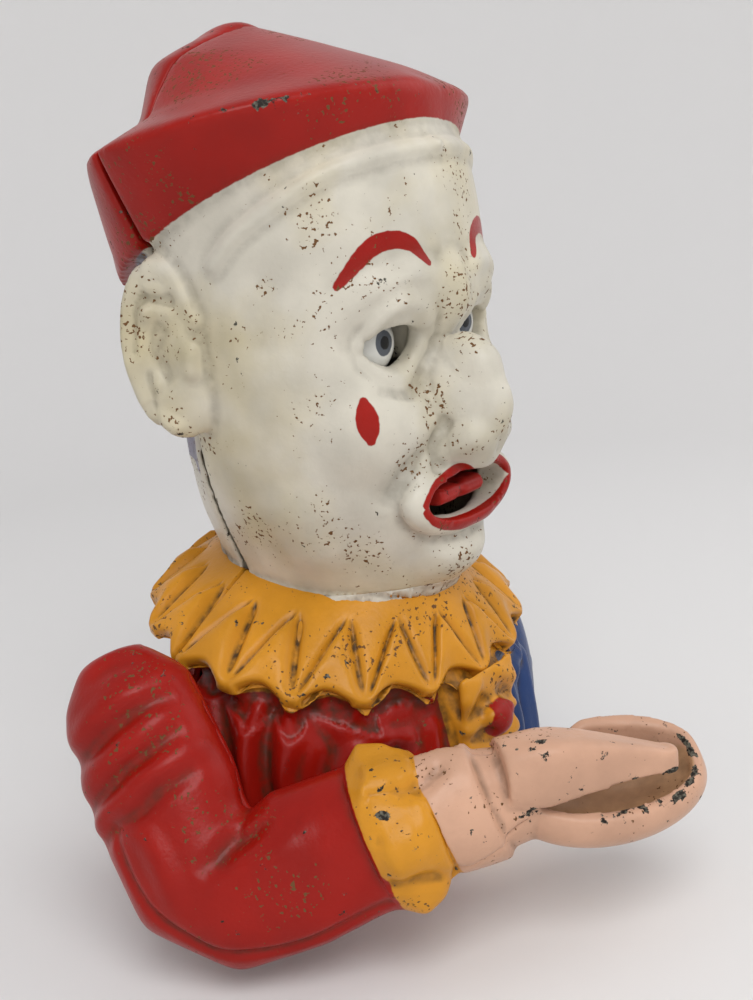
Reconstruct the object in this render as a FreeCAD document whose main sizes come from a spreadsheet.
import FreeCAD, Part
import math
import os
import re

Vector = FreeCAD.Vector
doc = FreeCAD.newDocument("ClownBank")
sheet = doc.addObject("Spreadsheet::Sheet", "Sizes")

# Millimetres, with the origin on the table under the seam, the figure facing -Y and its left hand at +X.
# Every section of the bust is an oval: its half width, and how far it reaches before and behind the seam.
sizes = (
    ("wall", 3.5, "thickness of the cast shells"),
    ("base_half_width", 51, "foot of the coat"),
    ("base_front", 45, "foot of the coat"),
    ("base_back", 30, "foot of the coat"),
    ("chest_height", 28, "fullest part of the coat"),
    ("chest_half_width", 51, "fullest part of the coat"),
    ("chest_front", 46, "fullest part of the coat"),
    ("chest_back", 31, "fullest part of the coat"),
    ("shoulder_height", 47, "where the coat turns in to the neck"),
    ("shoulder_half_width", 46, "where the coat turns in to the neck"),
    ("shoulder_front", 42, "where the coat turns in to the neck"),
    ("shoulder_back", 28, "where the coat turns in to the neck"),
    ("collar_height", 65, "top of the coat under the ruff"),
    ("collar_half_width", 29, "top of the coat under the ruff"),
    ("collar_front", 36, "top of the coat under the ruff"),
    ("collar_back", 22, "top of the coat under the ruff"),
    ("neck_height", 57, "foot of the neck, inside the ruff"),
    ("neck_half_width", 21, "foot of the neck"),
    ("neck_front", 34, "foot of the neck"),
    ("neck_back", 18, "foot of the neck"),
    ("jaw_height", 72, "section at the chin"),
    ("jaw_half_width", 25, "section at the chin"),
    ("jaw_front", 44, "section at the chin"),
    ("jaw_back", 20, "section at the chin"),
    ("mouth_height", 86, "middle of the mouth slot"),
    ("mouth_half_width", 31, "section at the mouth"),
    ("mouth_front", 48, "section at the mouth"),
    ("mouth_back", 22, "section at the mouth"),
    ("cheek_height", 102, "section at the cheeks"),
    ("cheek_half_width", 35, "section at the cheeks"),
    ("cheek_front", 49, "section at the cheeks"),
    ("cheek_back", 20, "section at the cheeks"),
    ("temple_height", 134, "section at the temples"),
    ("temple_half_width", 38, "section at the temples"),
    ("temple_front", 48.5, "section at the temples"),
    ("temple_back", 22.5, "section at the temples"),
    ("hairline_height", 166, "top of the head inside the hat"),
    ("hairline_half_width", 32, "top of the head inside the hat"),
    ("hairline_front", 42.5, "top of the head inside the hat"),
    ("hairline_back", 16, "top of the head inside the hat"),
    ("brim_low_height", 144, "lower edge of the brim at the seam"),
    ("brim_low_half_width", 40.2, "lower edge of the brim"),
    ("brim_low_front", 44.5, "lower edge of the brim"),
    ("brim_low_back", 32, "lower edge of the brim"),
    ("brim_low_rise", 0.44, "climb of the lower edge for each unit forward"),
    ("brim_top_height", 163, "upper edge of the brim at the seam"),
    ("brim_top_half_width", 50, "upper edge of the brim"),
    ("brim_top_front", 45.5, "upper edge of the brim"),
    ("brim_top_back", 28, "upper edge of the brim"),
    ("brim_top_rise", 0.172, "climb of the upper edge for each unit forward"),
    ("crown_foot_height", 169, "where the crown leaves the brim, at the seam"),
    ("crown_foot_half_width", 34.4, "foot of the crown"),
    ("crown_foot_front", 36, "foot of the crown"),
    ("crown_foot_back", 20, "foot of the crown"),
    ("crown_foot_rise", 0.153, "climb of the foot of the crown for each unit forward"),
    ("crown_mid_height", 181, "middle of the crown"),
    ("crown_mid_half_width", 23, "middle of the crown"),
    ("crown_mid_front", 17, "middle of the crown"),
    ("crown_mid_back", 21, "middle of the crown"),
    ("crown_tip_height", 187, "where the rounded tip starts"),
    ("crown_tip_half_width", 10, "rounded tip"),
    ("crown_tip_centre", 8, "how far the tip leans back"),
    ("bank_height", 190, "top of the hat above the table"),
    ("ruff_pleats", 18, "pleats all round the ruff"),
    ("ruff_neck_height", 69, "inner edge of the ruff at the seam"),
    ("ruff_neck_half_width", 24, "inner edge of the ruff"),
    ("ruff_neck_front", 39, "inner edge of the ruff"),
    ("ruff_neck_back", 22, "inner edge of the ruff"),
    ("ruff_neck_fall", 0.17, "fall of the inner edge for each unit forward"),
    ("ruff_edge_height", 58, "outer edge of the ruff at the seam"),
    ("ruff_edge_half_width", 47, "outer edge of the ruff"),
    ("ruff_edge_front", 47, "outer edge of the ruff"),
    ("ruff_edge_back", 32, "outer edge of the ruff"),
    ("ruff_edge_fall", 0.27, "fall of the outer edge for each unit forward"),
    ("ruff_ripple", 1.6, "how far the pleats go in and out"),
    ("ruff_lift", 1.3, "how far the pleats go up and down"),
    ("ruff_thickness", 4, "thickness of the ruff's edge"),
    ("left_sleeve_x", 42, "middle of the cast left sleeve"),
    ("left_sleeve_y", -10, "middle of the cast left sleeve"),
    ("left_sleeve_half_width", 16, "cast left sleeve"),
    ("left_sleeve_half_depth", 19, "cast left sleeve"),
    ("left_sleeve_height", 61, "top of the cast left sleeve"),
    ("ear_x", 37.5, "middle of the ears"),
    ("ear_y", -4, "middle of the ears"),
    ("ear_z", 123, "middle of the ears"),
    ("ear_half_height", 19.5, "ears"),
    ("ear_half_depth", 11, "ears"),
    ("ear_half_thickness", 4, "ears"),
    ("ear_flare", 25, "how far the ears stand off the head, in degrees"),
    ("nose_z", 104, "middle of the nose"),
    ("nose_y", -47, "middle of the nose"),
    ("nose_half_height", 15, "nose"),
    ("nose_half_width", 7.5, "nose"),
    ("nose_half_depth", 12, "nose"),
    ("lip_y", -45, "middle of the lips"),
    ("lip_half_width", 19, "lips"),
    ("lip_half_height", 9, "lips"),
    ("lip_half_depth", 6, "lips"),
    ("slot_half_width", 15, "mouth slot for the coin"),
    ("slot_half_height", 5.2, "mouth slot for the coin"),
    ("eye_x", 14.5, "eyeballs, from the middle of the face"),
    ("eye_y", -33.2, "eye shaft"),
    ("eye_z", 120, "eye shaft"),
    ("eye_radius", 7.7, "eyeballs"),
    ("eye_hole_half_width", 7.5, "eye openings"),
    ("eye_hole_half_height", 5.6, "eye openings"),
    ("eye_shaft_radius", 2, "eye shaft"),
    ("eye_hub_half_width", 2.4, "hub of the eye tail"),
    ("eye_shaft_half_length", 21, "eye shaft"),
    ("frill_half_width", 10, "frill down the chest"),
    ("frill_front", 49, "frill down the chest"),
    ("frill_height", 46, "frill down the chest"),
    ("button_radius", 4.5, "buttons on the frill"),
    ("button_top_z", 34, "upper button"),
    ("button_low_z", 15, "lower button"),
    ("axle_z", 34, "arm axle above the table"),
    ("axle_radius", 3.5, "arm axle"),
    ("axle_right_end", -62, "end of the axle in the arm"),
    ("axle_left_end", 44, "end of the axle in the left bush"),
    ("running_clearance", 0.06, "all round a turning shaft"),
    ("fixed_clearance", 0.1, "all round a fastener in its hole"),
    ("bush_radius", 5.5, "outside of the axle bushes"),
    ("bush_length", 13, "axle bushes"),
    ("bush_right_face", -50.5, "outer end of the right bush"),
    ("bush_left_face", 45, "outer end of the left bush"),
    ("axle_boss_radius", 9.5, "seam bosses that hold the bushes"),
    ("axle_boss_reach", 36, "inner ends of the seam bosses"),
    ("axle_pad_face", -51.5, "turned face outside the right bush"),
    ("lever_x", 24.5, "middle plane of the thumb lever"),
    ("lever_width", 5, "thumb lever and its crank"),
    ("lever_pivot_y", 14, "thumb lever pivot"),
    ("lever_pivot_z", 36, "thumb lever pivot"),
    ("lever_hub_radius", 4.6, "thumb lever hub"),
    ("lever_bar", 5, "height of the lever's bars"),
    ("lever_dip", 17, "how far the lower bar lies under the pivot"),
    ("lever_pin_radius", 2, "thumb lever pin"),
    ("lever_outer_reach", 30, "thumb pad beyond the pivot"),
    ("lever_pad_rise", 9, "thumb pad above the pivot"),
    ("lug_thickness", 3, "pivot lugs inside the castings"),
    ("lug_gap", 0.6, "beside a part that turns between lugs"),
    ("crank_throw", 11, "axle to the nose that the lever lifts"),
    ("cam_throw", 13, "axle to the nose that lifts the rod"),
    ("throw_angle", 20, "noses below level at rest, in degrees"),
    ("nose_tip_radius", 2.6, "noses of the crank and the cam"),
    ("throw_hub_radius", 7, "hubs of the crank and the cam"),
    ("cam_width", 8, "lift cam"),
    ("cross_pin_radius", 1.2, "pins through the hubs"),
    ("rod_radius", 2, "lift rod"),
    ("collar_radius", 3.2, "rod collar"),
    ("collar_thickness", 3, "rod collar"),
    ("drive_gap", 0.3, "between a part that pushes and the part it pushes"),
    ("tail_thickness", 3, "tails of the eyes and the tongue"),
    ("tail_half_width", 5, "tails of the eyes and the tongue"),
    ("tail_overhang", 4, "tails beyond the rod"),
    ("guide_low_z", 57, "lower guide arm"),
    ("guide_high_z", 113, "upper guide arm"),
    ("bracket_thickness", 2, "rod bracket"),
    ("bracket_half_width", 6, "rod bracket"),
    ("bracket_face", 3, "back of the bracket, behind the seam"),
    ("bracket_boss_radius", 4.5, "bosses behind the bracket"),
    ("bracket_screw_radius", 1.5, "bracket screws"),
    ("bracket_screw_low", 64, "lower bracket screw"),
    ("bracket_screw_high", 99, "upper bracket screw"),
    ("tongue_pivot_y", -38, "tongue pin"),
    ("tongue_pivot_z", 98, "tongue pin"),
    ("tongue_pin_radius", 2, "tongue pin"),
    ("tongue_hub_radius", 4.2, "tongue hub"),
    ("tongue_hub_half_width", 6, "tongue hub"),
    ("tongue_half_width", 8, "blade of the tongue"),
    ("tongue_thickness", 4, "blade of the tongue"),
    ("tongue_tip_y", -46.5, "tip of the tongue"),
    ("case_screw_radius", 2, "long screws through the castings"),
    ("case_screw_x", 34, "lower pair of long screws"),
    ("case_screw_low_z", 19, "lower pair of long screws"),
    ("case_screw_high_z", 141, "upper long screw"),
    ("case_boss_radius", 5.5, "bosses for the long screws"),
    ("case_screw_seat_low", 15, "head seats of the lower pair behind the seam"),
    ("case_screw_seat_high", 18, "head seat of the upper screw behind the seam"),
    ("case_screw_depth", 14, "how far the long screws enter the front casting"),
    ("screw_head_height", 2.4, "screw heads"),
    ("screw_slot", 1, "driver slots"),
    ("plate_recess", 3, "underside of the base plate above the table"),
    ("plate_thickness", 3, "base plate"),
    ("plate_clearance", 0.4, "base plate inside the castings"),
    ("base_screw_radius", 1.5, "base plate screws"),
    ("base_screw_x", 43, "front pair of base screws"),
    ("base_screw_y", -12, "front pair of base screws"),
    ("base_screw_back", 23, "rear base screw"),
    ("base_boss_radius", 5, "bosses above the base plate"),
    ("base_boss_top", 17, "bosses above the base plate"),
    ("trap_hole_radius", 12.8, "coin opening in the base plate"),
    ("trap_cover_radius", 14.6, "trap cover"),
    ("trap_swing", 16.6, "trap pivot to the middle of the cover"),
    ("trap_pivot_x", 2, "trap pivot"),
    ("trap_pivot_y", -8, "trap pivot"),
    ("trap_thickness", 1.6, "trap cover"),
    ("trap_play", 0.2, "between the trap cover and the plate or screw head"),
    ("trap_screw_radius", 2, "trap pivot screw"),
    ("trap_stop_radius", 1.5, "stop pin beside the trap cover"),
    ("arm_shoulder_x", -61.5, "shoulder end of the arm"),
    ("arm_shoulder_y", -0.5, "shoulder end of the arm"),
    ("arm_shoulder_z", 55, "shoulder end of the arm"),
    ("arm_elbow_x", -67.5, "elbow"),
    ("arm_elbow_y", -24, "elbow"),
    ("arm_elbow_z", 15.5, "elbow"),
    ("arm_cuff_x", -44, "where the sleeve meets the cuff"),
    ("arm_cuff_y", -54, "where the sleeve meets the cuff"),
    ("arm_cuff_z", 29, "where the sleeve meets the cuff"),
    ("sleeve_half_side", 11.5, "sleeve, across the two halves"),
    ("sleeve_half_tall", 16, "sleeve, along the parting plane"),
    ("sleeve_end_share", 0.9, "sleeve at its ends, as a share of its fullest part"),
    ("elbow_round", 8, "how far from the elbow its bend starts and ends"),
    ("shoulder_cap_height", 9, "rounded end of the arm above the shoulder"),
    ("arm_wall", 3.5, "sleeve halves"),
    ("hub_radius", 8.5, "axle hub on the inner half"),
    ("hub_face", -52, "axle hub, beside the body"),
    ("hub_depth", 11, "axle hub"),
    ("cuff_length", 12, "cuff along the arm"),
    ("cuff_half_side", 14.5, "cuff across the halves"),
    ("cuff_half_tall", 17, "cuff along the parting plane"),
    ("cuff_ripples", 7, "ruffles round the cuff"),
    ("cuff_ripple", 1.2, "how far the ruffles go in and out"),
    ("wrist_half_side", 9, "wrist"),
    ("wrist_half_tall", 11, "wrist"),
    ("hand_x", -10.8, "middle of the hand"),
    ("hand_y", -82.5, "middle of the hand"),
    ("hand_z", 29.5, "middle of the hand"),
    ("hand_yaw", -39, "direction of the fingers, in degrees"),
    ("hand_roll", 24, "how far the hollow of the hand turns outwards, in degrees"),
    ("hand_half_length", 21.5, "hand"),
    ("hand_half_width", 13, "hand"),
    ("hand_half_height", 10, "hand"),
    ("hand_rim", 4, "rim of the hollow above the middle of the hand"),
    ("hand_wall", 3.5, "wall round the hollow of the hand"),
    ("thumb_radius", 6, "thumb at its root"),
    ("thumb_tip_radius", 3.6, "thumb at its tip"),
    ("thumb_rise", 9, "thumb above the middle of the hand"),
    ("thumb_gap", 0.2, "between the thumb's half and the hand"),
    ("arm_screw_radius", 1.5, "screws between the arm halves"),
    ("arm_boss_radius", 4.5, "screw bosses in the arm"),
)
names = set()
for row, (alias, value, note) in enumerate(sizes, 1):
    sheet.set("A%d" % row, alias)
    sheet.set("B%d" % row, str(value))
    sheet.set("C%d" % row, note)
    sheet.setAlias("B%d" % row, alias)
    names.add(alias)
doc.recompute()


def mm(alias):
    return float(sheet.get(alias))


def linked(text):
    return re.sub("[a-z_]+", lambda word: "Sizes." + word[0] if word[0] in names else word[0], str(text))


def solid(kind, label, dims, spot, turn=None):
    item = doc.addObject(kind, label)
    if turn:
        item.Placement = FreeCAD.Placement(Vector(), turn)
    for prop, text in dims.items():
        item.setExpression(prop, linked(text))
    for letter, text in zip("xyz", spot):
        item.setExpression("Placement.Base." + letter, linked(text))
    return item


alongX = FreeCAD.Rotation(Vector(0, 1, 0), 90)
alongY = FreeCAD.Rotation(Vector(1, 0, 0), -90)


def rod(label, radius, length, spot, turn=None):
    return solid("Part::Cylinder", label, {"Radius": radius, "Height": length}, spot, turn)


def block(label, lengths, spot, turn=None):
    return solid("Part::Box", label, dict(zip(("Length", "Width", "Height"), lengths)), spot, turn)


def egg(label, halfX, halfY, halfZ, spot, turn=None):
    dims = {"Radius1": halfZ, "Radius2": halfX, "Radius3": halfY}
    return solid("Part::Ellipsoid", label, dims, spot, turn)


def fuse(label, items):
    item = doc.addObject("Part::MultiFuse", label)
    item.Refine = False
    item.Shapes = list(items)
    return item


def chain(label, items):
    # one solid at a time, which joins these curved faces more surely than all at once
    whole = items[0]
    for index, item in enumerate(items[1:], 1):
        step = doc.addObject("Part::Fuse", label if index == len(items) - 1 else "%s_%d" % (label, index))
        step.Refine = False
        step.Base = whole
        step.Tool = item
        whole = step
    return whole


def cut(label, base, tool):
    item = doc.addObject("Part::Cut", label)
    item.Refine = False
    item.Base = base
    item.Tool = tool
    return item


def common(label, base, tool):
    item = doc.addObject("Part::Common", label)
    item.Refine = False
    item.Base = base
    item.Tool = tool
    return item


def group(label, items):
    item = doc.addObject("Part::Compound", label)
    item.Links = list(items)
    return item


def form(label, shape):
    item = doc.addObject("Part::Feature", label)
    item.Shape = shape
    return item


def ring(centre, across, along):
    matrix = FreeCAD.Matrix()
    lift = across.cross(along)
    columns = (across, along, lift.normalize())
    matrix.A11, matrix.A21, matrix.A31 = columns[0]
    matrix.A12, matrix.A22, matrix.A32 = columns[1]
    matrix.A13, matrix.A23, matrix.A33 = columns[2]
    matrix.A14, matrix.A24, matrix.A34 = centre
    return Part.Wire(Part.makeCircle(1).transformGeometry(matrix).Edges)


def oval(halfWidth, front, back, height, rise=0.0):
    middle = (back - front) / 2
    depth = (back + front) / 2
    centre = Vector(0, middle, height - rise * middle)
    return ring(centre, Vector(halfWidth, 0, 0), Vector(0, depth, -rise * depth))


def section(prefix, inset=0.0):
    return oval(
        mm(prefix + "_half_width") - inset,
        mm(prefix + "_front") - inset,
        mm(prefix + "_back") - inset,
        mm(prefix + "_height") if prefix != "base" else -inset,
    )


def tilted(prefix, inset=0.0, drop=0.0):
    return oval(
        mm(prefix + "_half_width") - inset,
        mm(prefix + "_front") - inset,
        mm(prefix + "_back") - inset,
        mm(prefix + "_height") - drop,
        mm(prefix + "_rise"),
    )


def wavy(points):
    curve = Part.BSplineCurve()
    curve.interpolate(points, PeriodicFlag=True)
    return Part.Wire([curve.toShape()])


# The outside of the bust
wall = mm("wall")
torsoRings = ["base", "chest", "shoulder", "collar"]
headRings = ["neck", "jaw", "mouth", "cheek", "temple", "hairline"]
torso = form("torso_form", Part.makeLoft([section(name) for name in torsoRings], True))
head = form("head_form", Part.makeLoft([section(name) for name in headRings], True))
crownMid = oval(
    mm("crown_mid_half_width"), mm("crown_mid_front"), mm("crown_mid_back"), mm("crown_mid_height")
)


def tipRing(height, share):
    half = mm("crown_tip_half_width") * share
    return ring(Vector(0, mm("crown_tip_centre"), height), Vector(half, 0, 0), Vector(0, half, 0))


hat = form("hat_form", Part.makeLoft([
    tilted("brim_low"), tilted("brim_top"), tilted("crown_foot"), crownMid, tipRing(mm("crown_tip_height"), 1),
    tipRing(mm("bank_height"), 0.5),
], True, True))


def pleatedEdge(inset, drop):
    count = int(round(mm("ruff_pleats"))) * 2
    middle = (mm("ruff_edge_back") - mm("ruff_edge_front")) / 2
    depth = (mm("ruff_edge_back") + mm("ruff_edge_front")) / 2 - inset
    width = mm("ruff_edge_half_width") - inset
    points = []
    for step in range(count):
        turn = 2 * math.pi * step / count
        swing = 1 if step % 2 else -1
        out = 1 + swing * mm("ruff_ripple") / width
        y = middle + depth * out * math.sin(turn)
        z = mm("ruff_edge_height") + mm("ruff_edge_fall") * y - drop
        points.append(Vector(width * out * math.cos(turn), y, z - swing * mm("ruff_lift")))
    return wavy(points)


def ruffNeck(drop):
    middle = (mm("ruff_neck_back") - mm("ruff_neck_front")) / 2
    depth = (mm("ruff_neck_back") + mm("ruff_neck_front")) / 2
    count = int(round(mm("ruff_pleats"))) * 2
    points = []
    for step in range(count):
        turn = 2 * math.pi * step / count
        y = middle + depth * math.sin(turn)
        z = mm("ruff_neck_height") + mm("ruff_neck_fall") * y - drop
        points.append(Vector(mm("ruff_neck_half_width") * math.cos(turn), y, z))
    return wavy(points)


ruffThickness = mm("ruff_thickness")
ruffLoft = [
    ruffNeck(0), pleatedEdge(0, 0), pleatedEdge(ruffThickness / 2, ruffThickness), ruffNeck(2 * ruffThickness)
]
ruff = form("ruff_form", Part.makeLoft(ruffLoft, True, True))


def sleeveRing(height, share, lean):
    centre = Vector(mm("left_sleeve_x") - lean, mm("left_sleeve_y") + lean / 2, height)
    across = Vector(mm("left_sleeve_half_width") * share, 0, 0)
    return ring(centre, across, Vector(0, mm("left_sleeve_half_depth") * share, 0))


sleeveTop = mm("left_sleeve_height")
leftSleeve = form("left_sleeve_form", Part.makeLoft([
    sleeveRing(0, 0.95, 0), sleeveRing(sleeveTop * 0.5, 1, 0), sleeveRing(sleeveTop * 0.85, 0.75, 4),
    sleeveRing(sleeveTop, 0.35, 9),
], True))
ears = [
    egg("ear_%s_form" % side, "ear_half_thickness", "ear_half_depth", "ear_half_height",
        (sign + "ear_x", "ear_y", "ear_z"), FreeCAD.Rotation(Vector(0, 0, 1), flare * mm("ear_flare")))
    for side, sign, flare in (("right", "-", 1), ("left", "", -1))
]
nose = egg("nose_form", "nose_half_width", "nose_half_depth", "nose_half_height", ("0", "nose_y", "nose_z"))
lips = egg("lip_form", "lip_half_width", "lip_half_depth", "lip_half_height", ("0", "lip_y", "mouth_height"))
frill = block(
    "frill_form", ("2 * frill_half_width", "frill_front / 2", "frill_height"),
    ("-frill_half_width", "-frill_front", "0"),
)
buttons = [
    solid("Part::Sphere", "button_%s_form" % spot, {"Radius": "button_radius"}, ("0", "-frill_front", height))
    for spot, height in (("top", "button_top_z"), ("low", "button_low_z"))
]
axlePad = rod(
    "axle_pad_form", "axle_boss_radius", "-axle_pad_face - axle_boss_reach", ("axle_pad_face", "0",
        "axle_z"), alongX
)
outside = chain("outside", [
    chain("head_outside", [head, nose, lips, hat]),
    chain("coat_outside", [torso, frill] + buttons + [axlePad, leftSleeve]),
    ruff,
])

# The hollow inside, with the bosses and lugs that stand in it
torsoCore = form("torso_core", Part.makeLoft([section(name, wall) for name in torsoRings], True))
headCore = form("head_core", Part.makeLoft([section(name, wall) for name in headRings], True))
hatFoot = oval(
    mm("hairline_half_width") - 2 * wall, mm("hairline_front") - 2 * wall, mm("hairline_back") - 2 * wall,
    mm("hairline_height") - wall,
)
hatCoreMid = oval(
    mm("crown_mid_half_width") - 1.5 * wall, mm("crown_mid_front") - 1.5 * wall,
    mm("crown_mid_back") - 1.5 * wall, mm("crown_mid_height") - 1.5 * wall,
)
hatCore = form(
    "hat_core", Part.makeLoft([hatFoot, tilted("crown_foot", wall, wall), hatCoreMid], True, True)
)
hollow = fuse("hollow", [torsoCore, headCore, hatCore])

lugSpan = "lever_width / 2 + lug_gap"
supports = [
    rod("boss_axle_right", "axle_boss_radius", "axle_boss_reach", ("-2 * axle_boss_reach", "0",
        "axle_z"), alongX),
    rod("boss_axle_left", "axle_boss_radius", "axle_boss_reach", ("axle_boss_reach", "0", "axle_z"), alongX),
    rod("boss_case_high_front", "case_boss_radius", "temple_front", ("0", "-temple_front",
        "case_screw_high_z"),
        alongY),
    rod("boss_case_high_rear", "case_boss_radius", "temple_back + wall", ("0", "0",
        "case_screw_high_z"), alongY),
    rod("boss_base_rear", "base_boss_radius", "base_boss_top - plate_recess - plate_thickness",
        ("0", "base_screw_back", "plate_recess + plate_thickness")),
    block("lug_lever_a", ("lug_thickness", "chest_back", "3 * lever_hub_radius"),
          ("lever_x - lever_width / 2 - lug_gap - lug_thickness", "lever_pivot_y - lever_hub_radius",
           "lever_pivot_z - 1.5 * lever_hub_radius")),
    block("lug_lever_b", ("lug_thickness", "chest_back", "3 * lever_hub_radius"),
          ("lever_x + lever_width / 2 + lug_gap", "lever_pivot_y - lever_hub_radius",
           "lever_pivot_z - 1.5 * lever_hub_radius")),
    rod("boss_bracket_low", "bracket_boss_radius", "chest_back", ("0", "bracket_face",
        "bracket_screw_low"), alongY),
    rod("boss_bracket_high", "bracket_boss_radius", "chest_back", ("0", "bracket_face",
        "bracket_screw_high"), alongY),
]
for side, sign in (("right", "-"), ("left", "")):
    supports += [
        rod("boss_case_%s" % side, "case_boss_radius", "chest_front + chest_back",
            (sign + "case_screw_x", "-chest_front", "case_screw_low_z"), alongY),
        rod("boss_base_%s" % side, "base_boss_radius", "base_boss_top - plate_recess - plate_thickness",
            (sign + "base_screw_x", "base_screw_y", "plate_recess + plate_thickness")),
    ]
lugStarts = {"right": "-eye_hub_half_width - lug_gap - lug_thickness", "left": "eye_hub_half_width + lug_gap"}
for side, start in lugStarts.items():
    supports.append(block(
        "lug_eye_%s" % side, ("lug_thickness", "temple_front + eye_y + 2 * eye_shaft_radius",
            "5 * eye_shaft_radius"),
        (start, "-temple_front", "eye_z - 2.5 * eye_shaft_radius")))
for side, start in (
    ("right", "-tongue_hub_half_width - lug_gap - lug_thickness"), ("left", "tongue_hub_half_width + lug_gap")
):
    supports.append(block(
        "lug_tongue_%s" % side,
        ("lug_thickness", "cheek_front + tongue_pivot_y + 2 * tongue_pin_radius", "5 * tongue_pin_radius"),
        (start, "-cheek_front", "tongue_pivot_z - 2.5 * tongue_pin_radius")))
core = cut("core", hollow, fuse("supports", supports))
shell = cut("shell", outside, core)

# Holes through the castings
long = "2 * chest_front"
bushBore = "bush_radius + fixed_clearance"
caseBore = "case_screw_radius + fixed_clearance"
holes = [
    egg("hole_mouth", "slot_half_width", "wall * 5", "slot_half_height", ("0", "-mouth_front - wall",
        "mouth_height")),
    rod("hole_bush_right", bushBore, "axle_boss_reach", ("-2 * axle_boss_reach + wall", "0", "axle_z"),
        alongX),
    rod("hole_bush_left", bushBore, "bush_left_face - axle_boss_reach + wall",
        ("axle_boss_reach - wall", "0", "axle_z"), alongX),
    rod("hole_axle_right", "axle_radius + running_clearance + lug_gap", "axle_boss_reach",
        ("-axle_boss_reach - wall", "0", "axle_z"), alongX),
    block("hole_lever", ("lever_width + 2 * lug_gap", "chest_back", "3 * lever_bar"),
          ("lever_x - lever_width / 2 - lug_gap", "lever_pivot_y + lever_hub_radius",
           "lever_pivot_z - 2 * lever_bar")),
    rod("hole_lever_pin", "lever_pin_radius + fixed_clearance", "lever_width + 4 * lug_thickness",
        ("lever_x - lever_width / 2 - 2 * lug_thickness", "lever_pivot_y", "lever_pivot_z"), alongX),
    rod("hole_eye_shaft", "eye_shaft_radius + running_clearance", "2 * eye_x",
        ("-eye_x", "eye_y", "eye_z"), alongX),
    rod("hole_tongue_pin", "tongue_pin_radius + fixed_clearance",
        "2 * tongue_hub_half_width + 4 * lug_thickness",
        ("-tongue_hub_half_width - 2 * lug_thickness", "tongue_pivot_y", "tongue_pivot_z"), alongX),
    rod("hole_case_high", caseBore, "case_screw_seat_high + case_screw_depth + wall",
        ("0", "-case_screw_depth - wall", "case_screw_high_z"), alongY),
    rod("seat_case_high", "2 * case_screw_radius + fixed_clearance", long,
        ("0", "case_screw_seat_high", "case_screw_high_z"), alongY),
    rod("hole_base_rear", "base_screw_radius + fixed_clearance", "base_boss_top",
        ("0", "base_screw_back", "-wall")),
    rod("hole_bracket_low", "bracket_screw_radius + fixed_clearance", "3 * wall",
        ("0", "bracket_face - wall", "bracket_screw_low"), alongY),
    rod("hole_bracket_high", "bracket_screw_radius + fixed_clearance", "3 * wall",
        ("0", "bracket_face - wall", "bracket_screw_high"), alongY),
]
for side, sign in (("right", "-"), ("left", "")):
    holes += [
        egg("hole_eye_%s" % side, "eye_hole_half_width", "wall * 4", "eye_hole_half_height",
            (sign + "eye_x", "-temple_front", "eye_z")),
        rod("hole_case_%s" % side, caseBore, "case_screw_seat_low + case_screw_depth + wall",
            (sign + "case_screw_x", "-case_screw_depth - wall", "case_screw_low_z"), alongY),
        rod("seat_case_%s" % side, "2 * case_screw_radius + fixed_clearance", long,
            (sign + "case_screw_x", "case_screw_seat_low", "case_screw_low_z"), alongY),
        rod("hole_base_%s" % side, "base_screw_radius + fixed_clearance", "base_boss_top",
            (sign + "base_screw_x", "base_screw_y", "-wall")),
    ]
case = cut("case", shell, fuse("holes", holes))
span = "4 * bank_height"
rearSide = block("rear_side", (span, span, span), ("-2 * bank_height", "0", "-bank_height"))
frontCasting = chain("front_casting", [cut("front_half", case, rearSide)] + ears)
rearCasting = common("rear_casting", case, rearSide)


def screw(label, radius, length, spot, turn):
    # the head stands on the seat, and the shank runs back from it
    head = rod(label + "_head", "1.9 * " + radius, "screw_head_height", ("0", "0", "0"))
    shank = rod(label + "_shank", radius, length + " + screw_head_height / 2",
                ("0", "0", "-(" + length + ")"))
    slot = block(label + "_slot", ("6 * " + radius, "screw_slot", "screw_head_height"),
                 ("-3 * " + radius, "-screw_slot / 2", "screw_head_height / 2"))
    body = cut(label + "_body", fuse(label + "_blank", [head, shank]), slot)
    body.Placement = FreeCAD.Placement(Vector(), turn)
    for letter, text in zip("xyz", spot):
        body.setExpression("Placement.Base." + letter, linked(text))
    return body


facingBack = FreeCAD.Rotation(Vector(1, 0, 0), -90)
facingFront = FreeCAD.Rotation(Vector(1, 0, 0), 90)
facingDown = FreeCAD.Rotation(Vector(1, 0, 0), 180)
caseScrews = group("case_screws", [
    screw("case_screw_high", "case_screw_radius", "case_screw_seat_high + case_screw_depth",
          ("0", "case_screw_seat_high", "case_screw_high_z"), facingBack),
    screw("case_screw_right", "case_screw_radius", "case_screw_seat_low + case_screw_depth",
          ("-case_screw_x", "case_screw_seat_low", "case_screw_low_z"), facingBack),
    screw("case_screw_left", "case_screw_radius", "case_screw_seat_low + case_screw_depth",
          ("case_screw_x", "case_screw_seat_low", "case_screw_low_z"), facingBack),
])
baseScrewLength = "base_boss_top - plate_recess - 3 * fixed_clearance - wall"
baseScrews = group("base_screws", [
    screw("base_screw_rear", "base_screw_radius", baseScrewLength, ("0", "base_screw_back", "plate_recess"),
          facingDown),
    screw("base_screw_right", "base_screw_radius", baseScrewLength,
          ("-base_screw_x", "base_screw_y", "plate_recess"), facingDown),
    screw("base_screw_left", "base_screw_radius", baseScrewLength,
          ("base_screw_x", "base_screw_y", "plate_recess"), facingDown),
])

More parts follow.
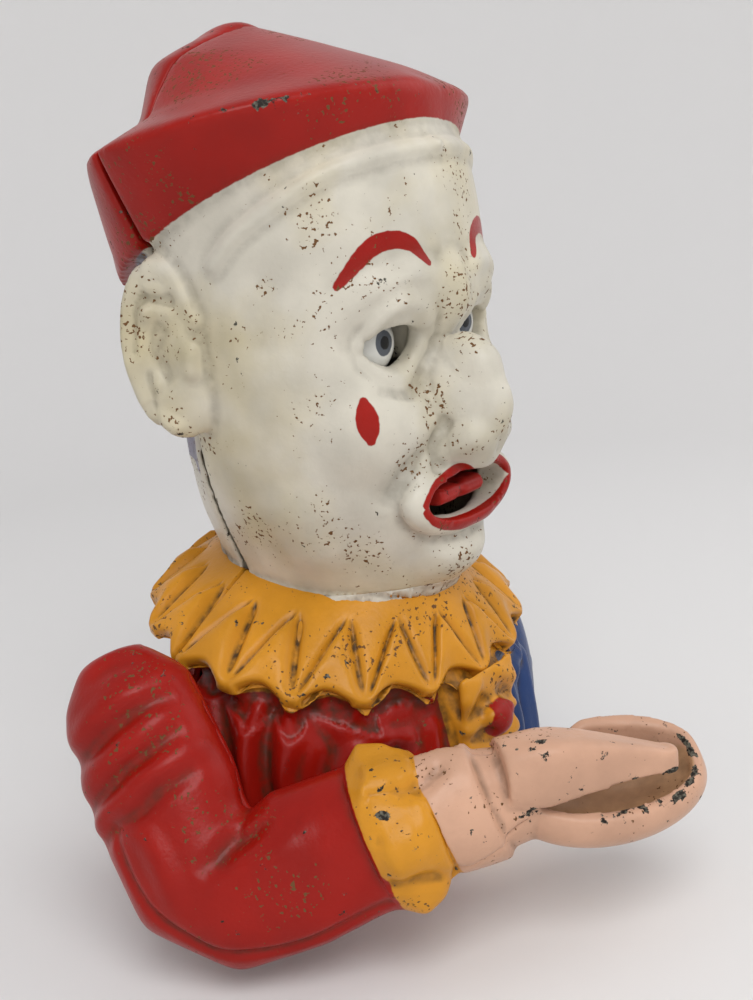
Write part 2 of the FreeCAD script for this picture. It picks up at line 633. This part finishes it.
# Base plate and coin trap
plateInset = wall + mm("plate_clearance")
plateFace = Part.Face(oval(
    min(mm("base_half_width"), mm("chest_half_width")) - plateInset, min(mm("base_front"),
        mm("chest_front")) - plateInset,
    min(mm("base_back"), mm("chest_back")) - plateInset, mm("plate_recess"),
))
plateBlank = form("plate_blank", plateFace.extrude(Vector(0, 0, mm("plate_thickness"))))
trapX = "trap_pivot_x - trap_swing"
plateHoles = [
    rod("plate_trap_hole", "trap_hole_radius", "3 * plate_thickness", (trapX, "trap_pivot_y", "0")),
    rod("plate_pivot_hole", "trap_screw_radius + fixed_clearance", "3 * plate_thickness",
        ("trap_pivot_x", "trap_pivot_y", "0")),
    rod("plate_stop_hole", "trap_stop_radius + fixed_clearance", "plate_recess + plate_thickness / 2",
        (trapX, "trap_pivot_y + trap_cover_radius + trap_stop_radius + trap_play", "0")),
    rod("plate_hole_rear", "base_screw_radius + fixed_clearance", "3 * plate_thickness",
        ("0", "base_screw_back", "0")),
    rod("plate_hole_right", "base_screw_radius + fixed_clearance", "3 * plate_thickness",
        ("-base_screw_x", "base_screw_y", "0")),
    rod("plate_hole_left", "base_screw_radius + fixed_clearance", "3 * plate_thickness",
        ("base_screw_x", "base_screw_y", "0")),
]
basePlate = cut("base_plate", plateBlank, fuse("plate_holes", plateHoles))
coverZ = "plate_recess - trap_play - trap_thickness"
coverBlank = fuse("cover_blank", [
    rod("cover_disc", "trap_cover_radius", "trap_thickness", (trapX, "trap_pivot_y", coverZ)),
    rod("cover_eye", "2.5 * trap_screw_radius", "trap_thickness", ("trap_pivot_x", "trap_pivot_y", coverZ)),
    block("cover_neck", ("trap_swing", "5 * trap_screw_radius", "trap_thickness"),
          (trapX, "trap_pivot_y - 2.5 * trap_screw_radius", coverZ)),
])
trapCover = cut("trap_cover", coverBlank, rod(
    "cover_hole", "trap_screw_radius + running_clearance", "3 * plate_thickness",
    ("trap_pivot_x", "trap_pivot_y", "0")))
trapScrewHead = rod("trap_screw_head", "2 * trap_screw_radius", coverZ + " - 2 * trap_play",
                    ("trap_pivot_x", "trap_pivot_y", "trap_play"))
trapScrewShank = rod("trap_screw_shank", "trap_screw_radius",
    "plate_recess + plate_thickness + screw_head_height",
                     ("trap_pivot_x", "trap_pivot_y", "2 * trap_play"))
trapScrewNut = rod("trap_screw_nut", "1.8 * trap_screw_radius", "screw_head_height",
                   ("trap_pivot_x", "trap_pivot_y", "plate_recess + plate_thickness"))
trapScrew = fuse("trap_screw", [trapScrewHead, trapScrewShank, trapScrewNut])
trapStop = rod("trap_stop", "trap_stop_radius", "plate_recess + plate_thickness / 2 - 2 * trap_play",
               (trapX, "trap_pivot_y + trap_cover_radius + trap_stop_radius + trap_play", "2 * trap_play"))

# Arm axle with its bushes, crank and cam
axle = rod("arm_axle_blank", "axle_radius", "axle_left_end - axle_right_end", ("axle_right_end", "0",
    "axle_z"), alongX)


def bush(label, start):
    blank = rod(label + "_blank", "bush_radius", "bush_length", (start, "0", "axle_z"), alongX)
    bore = rod(label + "_bore", "axle_radius + running_clearance", "3 * bush_length",
               (start + " - bush_length", "0", "axle_z"), alongX)
    return cut(label, blank, bore)


bushes = group("axle_bushes", [
    bush("bush_right", "bush_right_face"), bush("bush_left", "bush_left_face - bush_length")
])


def throw(label, reach, width, middle):
    down = FreeCAD.Rotation(Vector(1, 0, 0), 180 + mm("throw_angle"))
    start = middle + " - " + width + " / 2"
    noseY = "-" + reach + " * cos(throw_angle * 1deg)"
    noseZ = "axle_z - " + reach + " * sin(throw_angle * 1deg)"
    hub = rod(label + "_hub", "throw_hub_radius", width, (start, "0", "axle_z"), alongX)
    nose = rod(label + "_nose", "nose_tip_radius", width, (start, noseY, noseZ), alongX)
    web = block(label + "_web", (width, reach, "2 * nose_tip_radius"),
                (start, "nose_tip_radius * -sin(throw_angle * 1deg)",
                 "axle_z + nose_tip_radius * cos(throw_angle * 1deg)"), down)
    bore = rod(label + "_bore", "axle_radius + fixed_clearance / 2", "3 * " + width,
               (middle + " - 1.5 * " + width, "0", "axle_z"), alongX)
    pinHole = rod(label + "_pin_hole", "cross_pin_radius + fixed_clearance / 2", "4 * throw_hub_radius",
                  (middle, "0", "axle_z - 2 * throw_hub_radius"))
    return cut(label, fuse(label + "_blank", [hub, nose, web]), fuse(label + "_holes", [bore, pinHole]))


crank = throw("lever_crank", "crank_throw", "lever_width", "lever_x")
cam = throw("lift_cam", "cam_throw", "cam_width", "0")


def crossPin(label, middle):
    body = rod(label + "_body", "cross_pin_radius", "2 * throw_hub_radius", (middle, "0",
        "axle_z - throw_hub_radius"))
    head = rod(label + "_head", "1.8 * cross_pin_radius", "cross_pin_radius", (middle, "0",
        "axle_z + throw_hub_radius"))
    return fuse(label, [body, head])


crossPins = group("crank_pins", [crossPin("crank_pin", "lever_x"), crossPin("cam_pin", "0")])
axleHoles = [
    rod("axle_hole_crank", "cross_pin_radius + fixed_clearance / 2", "4 * axle_radius",
        ("lever_x", "0", "axle_z - 2 * axle_radius")),
    rod("axle_hole_cam", "cross_pin_radius + fixed_clearance / 2", "4 * axle_radius",
        ("0", "0", "axle_z - 2 * axle_radius")),
]
armAxle = cut("arm_axle", axle, fuse("axle_holes", axleHoles))

# Thumb lever: a bar under the axle with a tip below the crank's nose, and a pad outside the rear casting
leverStart = "lever_x - lever_width / 2"
tipY = "-crank_throw * cos(throw_angle * 1deg)"
tipTop = "axle_z - crank_throw * sin(throw_angle * 1deg) - nose_tip_radius - drive_gap"
lowTop = "lever_pivot_z - lever_dip"
leverBlank = fuse("lever_blank", [
    rod("lever_hub", "lever_hub_radius", "lever_width", (leverStart, "lever_pivot_y", "lever_pivot_z"),
        alongX),
    block("lever_drop", ("lever_width", "lever_bar", "lever_dip + lever_bar"),
          (leverStart, "lever_pivot_y - lever_bar / 2", lowTop + " - lever_bar")),
    block("lever_low", ("lever_width", "lever_pivot_y + crank_throw * cos(throw_angle * 1deg) + lever_bar",
                        "lever_bar"),
          (leverStart, tipY + " - lever_bar / 2", lowTop + " - lever_bar")),
    block("lever_tip", ("lever_width", "lever_bar", tipTop + " - (" + lowTop + ") + lever_bar"),
          (leverStart, tipY + " - lever_bar / 2", lowTop + " - lever_bar")),
    block("lever_out", ("lever_width", "lever_outer_reach", "lever_bar"),
          (leverStart, "lever_pivot_y", "lever_pivot_z - lever_bar / 2")),
    block("lever_rise", ("lever_width", "lever_bar", "lever_pad_rise + lever_bar / 2"),
          (leverStart, "lever_pivot_y + lever_outer_reach - lever_bar", "lever_pivot_z - lever_bar / 2")),
    rod("lever_pad", "1.6 * lever_bar", "0.6 * lever_bar",
        ("lever_x", "lever_pivot_y + lever_outer_reach - lever_bar / 2",
            "lever_pivot_z + lever_pad_rise - 0.3 * lever_bar")),
])
thumbLever = cut("thumb_lever", leverBlank, rod(
    "lever_bore", "lever_pin_radius + running_clearance", "3 * lever_width",
    ("lever_x - 1.5 * lever_width", "lever_pivot_y", "lever_pivot_z"), alongX))
leverPin = fuse("lever_pin", [
    rod("lever_pin_body", "lever_pin_radius", "lever_width + 2 * lug_gap + 2 * lug_thickness",
        ("lever_x - lever_width / 2 - lug_gap - lug_thickness", "lever_pivot_y", "lever_pivot_z"), alongX),
    rod("lever_pin_head", "1.4 * lever_pin_radius", "lug_thickness / 2",
        ("lever_x + lever_width / 2 + lug_gap + lug_thickness", "lever_pivot_y", "lever_pivot_z"), alongX),
])

# Lift rod between the cam and the tails of the tongue and the eyes
rodY = "-cam_throw * cos(throw_angle * 1deg)"
rodFoot = (
    "axle_z - cam_throw * sin(throw_angle * 1deg) + nose_tip_radius"
    " + rod_radius * tan(throw_angle * 1deg) + drive_gap"
)
eyeTailZ = "eye_z - tail_thickness"
tongueTailZ = "tongue_pivot_z - tail_thickness"
liftRod = rod("lift_rod", "rod_radius", eyeTailZ + " - drive_gap - (" + rodFoot + ")", ("0", rodY, rodFoot))
collarZ = tongueTailZ + " - drive_gap - collar_thickness"
rodCollar = cut(
    "rod_collar", rod("collar_blank", "collar_radius", "collar_thickness", ("0", rodY, collarZ)),
    rod("collar_bore", "rod_radius + fixed_clearance / 4", "3 * collar_thickness",
        ("0", rodY, collarZ + " - collar_thickness")),
)
rodBracket = cut("rod_bracket", fuse("bracket_blank", [
    block("bracket_strip", ("2 * bracket_half_width", "bracket_thickness", "guide_high_z - guide_low_z"),
          ("-bracket_half_width", "bracket_face - bracket_thickness", "guide_low_z")),
    block("bracket_arm_low", ("2 * bracket_half_width", "bracket_face + cam_throw + collar_radius",
                              "bracket_thickness"),
          ("-bracket_half_width", "-cam_throw - collar_radius", "guide_low_z")),
    block("bracket_arm_high", ("2 * bracket_half_width", "bracket_face + cam_throw + collar_radius",
                               "bracket_thickness"),
          ("-bracket_half_width", "-cam_throw - collar_radius", "guide_high_z - bracket_thickness")),
]), fuse("bracket_holes", [
    rod("bracket_guide_hole", "rod_radius + running_clearance", "guide_high_z", ("0", rodY,
        "guide_low_z / 2")),
    rod("bracket_hole_low", "bracket_screw_radius + fixed_clearance", "4 * bracket_thickness",
        ("0", "bracket_face - 2 * bracket_thickness", "bracket_screw_low"), alongY),
    rod("bracket_hole_high", "bracket_screw_radius + fixed_clearance", "4 * bracket_thickness",
        ("0", "bracket_face - 2 * bracket_thickness", "bracket_screw_high"), alongY),
]))
bracketScrewLength = "bracket_thickness + 1.5 * wall"
bracketScrews = group("bracket_screws", [
    screw("bracket_screw_a", "bracket_screw_radius", bracketScrewLength,
          ("0", "bracket_face - bracket_thickness", "bracket_screw_low"), facingFront),
    screw("bracket_screw_b", "bracket_screw_radius", bracketScrewLength,
          ("0", "bracket_face - bracket_thickness", "bracket_screw_high"), facingFront),
])

# Eyes on one shaft, with a tail over the rod
eyeBore = rod("eye_bore", "eye_shaft_radius + fixed_clearance / 4", "6 * eye_x", ("-3 * eye_x", "eye_y",
    "eye_z"), alongX)
eyeShaft = rod("eye_shaft", "eye_shaft_radius", "2 * eye_shaft_half_length",
               ("-eye_shaft_half_length", "eye_y", "eye_z"), alongX)
eyeballs = [
    cut("%s_eye" % side, solid("Part::Sphere", "%s_eye_ball" % side, {"Radius": "eye_radius"},
                               (sign + "eye_x", "eye_y", "eye_z"), alongX), eyeBore)
    for side, sign in (("right", "-"), ("left", ""))
]
eyeTail = cut("eye_tail", fuse("eye_tail_blank", [
    rod("eye_hub", "2 * eye_shaft_radius", "2 * eye_hub_half_width", ("-eye_hub_half_width", "eye_y",
        "eye_z"), alongX),
    block("eye_tail_bar", ("2 * eye_hub_half_width", "-eye_y + " + rodY + " + tail_overhang",
        "tail_thickness"),
          ("-eye_hub_half_width", "eye_y", eyeTailZ)),
]), eyeBore)

# Tongue with its tail forked round the rod
bladeZ = "mouth_height - tongue_thickness / 2"
tongueBlank = fuse("tongue_blank", [
    rod("tongue_hub", "tongue_hub_radius", "2 * tongue_hub_half_width",
        ("-tongue_hub_half_width", "tongue_pivot_y", "tongue_pivot_z"), alongX),
    block("tongue_tail", ("2 * tail_half_width", "-tongue_pivot_y + " + rodY + " + tail_overhang",
        "tail_thickness"),
          ("-tail_half_width", "tongue_pivot_y", tongueTailZ)),
    block("tongue_stem", ("2 * tail_half_width", "tongue_thickness", "tongue_pivot_z - mouth_height"),
          ("-tail_half_width", "tongue_pivot_y - tongue_thickness / 2", "mouth_height")),
    block("tongue_blade", ("2 * tongue_half_width", "-tongue_tip_y + tongue_pivot_y", "tongue_thickness"),
          ("-tongue_half_width", "tongue_tip_y + tongue_thickness / 2", bladeZ)),
    rod("tongue_tip", "tongue_thickness / 2", "2 * tongue_half_width",
        ("-tongue_half_width", "tongue_tip_y + tongue_thickness / 2", "mouth_height"), alongX),
])
tongue = cut("tongue", tongueBlank, fuse("tongue_holes", [
    rod("tongue_bore", "tongue_pin_radius + running_clearance", "4 * tongue_hub_half_width",
        ("-2 * tongue_hub_half_width", "tongue_pivot_y", "tongue_pivot_z"), alongX),
    block("tongue_fork", ("2 * rod_radius + 2 * lug_gap", "4 * rod_radius + tail_overhang",
        "4 * tail_thickness"),
          ("-rod_radius - lug_gap", rodY + " - 2 * rod_radius", tongueTailZ + " - tail_thickness")),
]))
tonguePin = fuse("tongue_pin", [
    rod("tongue_pin_body", "tongue_pin_radius", "2 * tongue_hub_half_width + 2 * lug_gap + 2 * lug_thickness",
        ("-tongue_hub_half_width - lug_gap - lug_thickness", "tongue_pivot_y", "tongue_pivot_z"), alongX),
    rod("tongue_pin_head", "1.6 * tongue_pin_radius", "lug_thickness / 2",
        ("tongue_hub_half_width + lug_gap + lug_thickness", "tongue_pivot_y", "tongue_pivot_z"), alongX),
])


# Arm: sleeve, cuff and hand, parted along the plane of shoulder, elbow and cuff
def place(prefix):
    return Vector(mm(prefix + "_x"), mm(prefix + "_y"), mm(prefix + "_z"))


shoulder, elbow, cuffFoot, hand = place("arm_shoulder"), place("arm_elbow"), place("arm_cuff"), place("hand")
upperWay = (elbow - shoulder).normalize()
foreWay = (cuffFoot - elbow).normalize()
partNormal = upperWay.cross(foreWay).normalize()


def armRing(centre, way, side, tall):
    return ring(centre, partNormal * -side, way.cross(partNormal) * -tall)


def sleeveSolid(label, inset):
    side, tall = mm("sleeve_half_side") - inset, mm("sleeve_half_tall") - inset
    share = mm("sleeve_end_share")
    turn = mm("elbow_round")
    cap = mm("shoulder_cap_height") - inset
    return form(label, Part.makeLoft([
        armRing(shoulder - upperWay * cap, upperWay, side * share / 2, tall * share / 2),
        armRing(shoulder, upperWay, side * share, tall * share),
        armRing((shoulder + elbow) / 2, upperWay, side, tall),
        armRing(elbow - upperWay * turn, (upperWay * 2 + foreWay).normalize(), side, tall),
        armRing(elbow + foreWay * turn, (upperWay + foreWay * 2).normalize(), side, tall),
        armRing((elbow + cuffFoot) / 2, foreWay, side, tall),
        armRing(cuffFoot, foreWay, side * share, tall * share),
    ], True, True))


def cuffRing(reach, share, ripple):
    count = int(round(mm("cuff_ripples"))) * 2
    centre = cuffFoot + foreWay * reach
    across = partNormal * mm("cuff_half_side") * share
    along = foreWay.cross(partNormal) * mm("cuff_half_tall") * share
    points = []
    for step in range(count):
        turn = 2 * math.pi * step / count
        out = 1 + (ripple if step % 2 else -ripple) / mm("cuff_half_tall")
        points.append(centre + across * out * math.cos(turn) + along * out * math.sin(turn))
    return wavy(points)


cuffLength = mm("cuff_length")
cuff = form("cuff_form", Part.makeLoft([
    cuffRing(-cuffLength * 0.35, 0.88, 0), cuffRing(0, 1, mm("cuff_ripple")),
    cuffRing(cuffLength * 0.4, 0.9, mm("cuff_ripple")), cuffRing(cuffLength * 0.65, 0.72, 0),
], True, True))
handTurn = FreeCAD.Rotation(Vector(0, 0, 1), mm("hand_yaw"))
fingers = handTurn.multVec(Vector(1, 0, 0))
handLeft = handTurn.multVec(Vector(0, 1, 0))
palmTurn = handTurn.multiply(FreeCAD.Rotation(Vector(1, 0, 0), mm("hand_roll")))
wristEnd = hand - fingers * mm("hand_half_length") * 0.75 + Vector(0, 0, mm("hand_rim") / 2)
wristStart = cuffFoot + foreWay * cuffLength * 0.4
wristWay = (wristEnd - wristStart).normalize()
wristSide = wristWay.cross(Vector(0, 0, 1)).normalize()


def wristRing(centre, share):
    across = wristSide * mm("wrist_half_side") * share
    return ring(centre, across, wristWay.cross(wristSide) * mm("wrist_half_tall") * share)


wrist = form("wrist_form", Part.makeLoft([
    wristRing(wristStart, 1), wristRing((wristStart + wristEnd) / 2, 1), wristRing(wristEnd, 0.85)], True))


def handPoint(forward, left, up):
    return hand + fingers * forward + handLeft * left + Vector(0, 0, up)


def thumbRing(centre, radius):
    return ring(centre, handLeft * radius, Vector(0, 0, radius))


reach, rise = mm("hand_half_length"), mm("thumb_rise")
offside = -mm("hand_half_width") * 0.4
thumbRoot, thumbTip = mm("thumb_radius"), mm("thumb_tip_radius")
thumbLoft = form("thumb_loft", Part.makeLoft([
    thumbRing(handPoint(-reach * 1.05, offside / 2, rise * 0.9), thumbRoot * 1.2),
    thumbRing(handPoint(-reach * 0.3, offside, rise), thumbRoot),
    thumbRing(handPoint(reach * 0.5, offside, rise * 0.8), thumbTip),
], True))
thumbEnd = form("thumb_end", Part.makeSphere(thumbTip, handPoint(reach * 0.5, offside, rise * 0.8)))
handSpot = ("hand_x", "hand_y", "hand_z")
palmBall = egg("palm_ball", "hand_half_length", "hand_half_width", "hand_half_height", handSpot, palmTurn)
hollowSpot = (
    "hand_x + hand_rim * sin(hand_roll * 1deg) * sin(hand_yaw * 1deg)",
    "hand_y - hand_rim * sin(hand_roll * 1deg) * cos(hand_yaw * 1deg)",
    "hand_z + hand_rim * cos(hand_roll * 1deg)",
)
palmHollow = egg(
    "palm_hollow", "hand_half_length - hand_wall", "hand_half_width - hand_wall", "hand_half_height",
        hollowSpot, palmTurn)
aboveRim = Part.makeBox(8 * reach, 8 * reach, 4 * reach, Vector(-4 * reach, -4 * reach, mm("hand_rim")))
aboveRim.Placement = FreeCAD.Placement(hand, palmTurn)
palm = cut("palm_form", palmBall, fuse("palm_cuts", [palmHollow, form("palm_top", aboveRim)]))
palmRoom = egg(
    "palm_room", "hand_half_length + thumb_gap", "hand_half_width + thumb_gap", "hand_half_height + thumb_gap",
    handSpot, palmTurn)

armSkin = fuse("arm_skin", [sleeveSolid("sleeve_form", 0), cuff, wrist])
hubCentre = ("hub_face - hub_depth", "0", "axle_z")
hubRoom = rod("hub_room", "hub_radius", "hub_depth", hubCentre, alongX)
screwSpots = ((shoulder * 0.62 + elbow * 0.38) - upperWay.cross(partNormal) * mm("arm_boss_radius"),
              elbow * 0.4 + cuffFoot * 0.6)
faceOut = FreeCAD.Rotation(Vector(0, 0, 1), partNormal)
bossRooms = []
for index, spot in enumerate(screwSpots):
    boss = doc.addObject("Part::Cylinder", "arm_boss_%d" % index)
    boss.setExpression("Radius", linked("arm_boss_radius"))
    boss.setExpression("Height", linked("4 * sleeve_half_side"))
    boss.Placement = FreeCAD.Placement(spot - partNormal * 2 * mm("sleeve_half_side"), faceOut)
    bossRooms.append(boss)
armCore = cut("arm_core", sleeveSolid("sleeve_core", mm("arm_wall")), fuse("arm_supports",
    [hubRoom] + bossRooms))
armShell = cut("arm_shell", fuse("arm_whole", [armSkin, hubRoom]), armCore)
outerSide = doc.addObject("Part::Box", "outer_side")
for prop in ("Length", "Width", "Height"):
    outerSide.setExpression(prop, linked(span))
outerSide.Placement = FreeCAD.Placement(
    elbow - faceOut.multVec(Vector(2 * mm("bank_height"), 2 * mm("bank_height"), 0)), faceOut)
screwHoles = []
headSeat = -mm("sleeve_half_side") * 0.45
screwReach = mm("sleeve_half_side") * 0.5
for index, spot in enumerate(screwSpots):
    hole = doc.addObject("Part::Cylinder", "arm_screw_hole_%d" % index)
    hole.setExpression("Radius", linked("arm_screw_radius + fixed_clearance"))
    hole.Height = screwReach - headSeat + mm("fixed_clearance")
    hole.Placement = FreeCAD.Placement(spot + partNormal * headSeat, faceOut)
    seat = doc.addObject("Part::Cylinder", "arm_screw_seat_%d" % index)
    seat.setExpression("Radius", linked("2 * arm_screw_radius + fixed_clearance"))
    seat.setExpression("Height", linked("2 * sleeve_half_side"))
    seat.Placement = FreeCAD.Placement(spot + partNormal * (headSeat - 2 * mm("sleeve_half_side")), faceOut)
    screwHoles += [hole, seat]
axleBore = rod("hub_bore", "axle_radius + fixed_clearance / 4", "-axle_right_end",
               ("axle_right_end", "0", "axle_z"), alongX)
armCuts = fuse("arm_cuts", screwHoles + [axleBore])
armBored = cut("arm_bored", armShell, armCuts)
outerSleeve = common("outer_sleeve", armBored, outerSide)
innerSleeve = cut("inner_sleeve", armBored, outerSide)
thumb = cut("thumb", fuse("thumb_whole", [thumbLoft, thumbEnd]), innerSleeve)
thumbWhole = fuse("outer_half_whole", [outerSleeve, thumb])
outerHalf = cut("arm_outer_half", thumbWhole, palmRoom)
innerHalf = fuse("arm_inner_half", [innerSleeve, palm])
facingIn = FreeCAD.Rotation(Vector(0, 0, 1), partNormal * -1)
armScrewItems = []
for index, spot in enumerate(screwSpots):
    item = screw("arm_screw_%d" % index, "arm_screw_radius", "0.9 * sleeve_half_side", ("0", "0", "0"),
        facingIn)
    for letter, value in zip("xyz", spot + partNormal * headSeat):
        item.setExpression("Placement.Base." + letter, None)
    item.Placement = FreeCAD.Placement(spot + partNormal * headSeat, facingIn)
    armScrewItems.append(item)
armScrews = group("arm_screws", armScrewItems)

doc.recompute()

nodes = [
    frontCasting, rearCasting, basePlate, caseScrews, baseScrews, bushes, leverPin, tonguePin, rodBracket,
    bracketScrews, trapScrew, trapStop, outerHalf, innerHalf, armScrews, armAxle, crank, cam, crossPins,
    thumbLever, liftRod, rodCollar, eyeShaft, eyeTail, tongue, trapCover,
] + eyeballs
for item in doc.Objects:
    if "Invalid" in item.State or "Error" in item.State:
        raise RuntimeError("%s did not recompute" % item.Label)
os.makedirs("parts", exist_ok=True)
for item in nodes:
    if item.Shape.isNull() or not item.Shape.isValid():
        raise RuntimeError("%s has no sound shape" % item.Label)
    print(item.Label, len(item.Shape.Solids), round(item.Shape.Volume / 1000, 2))
    item.Shape.exportStep("parts/%s.step" % item.Label)
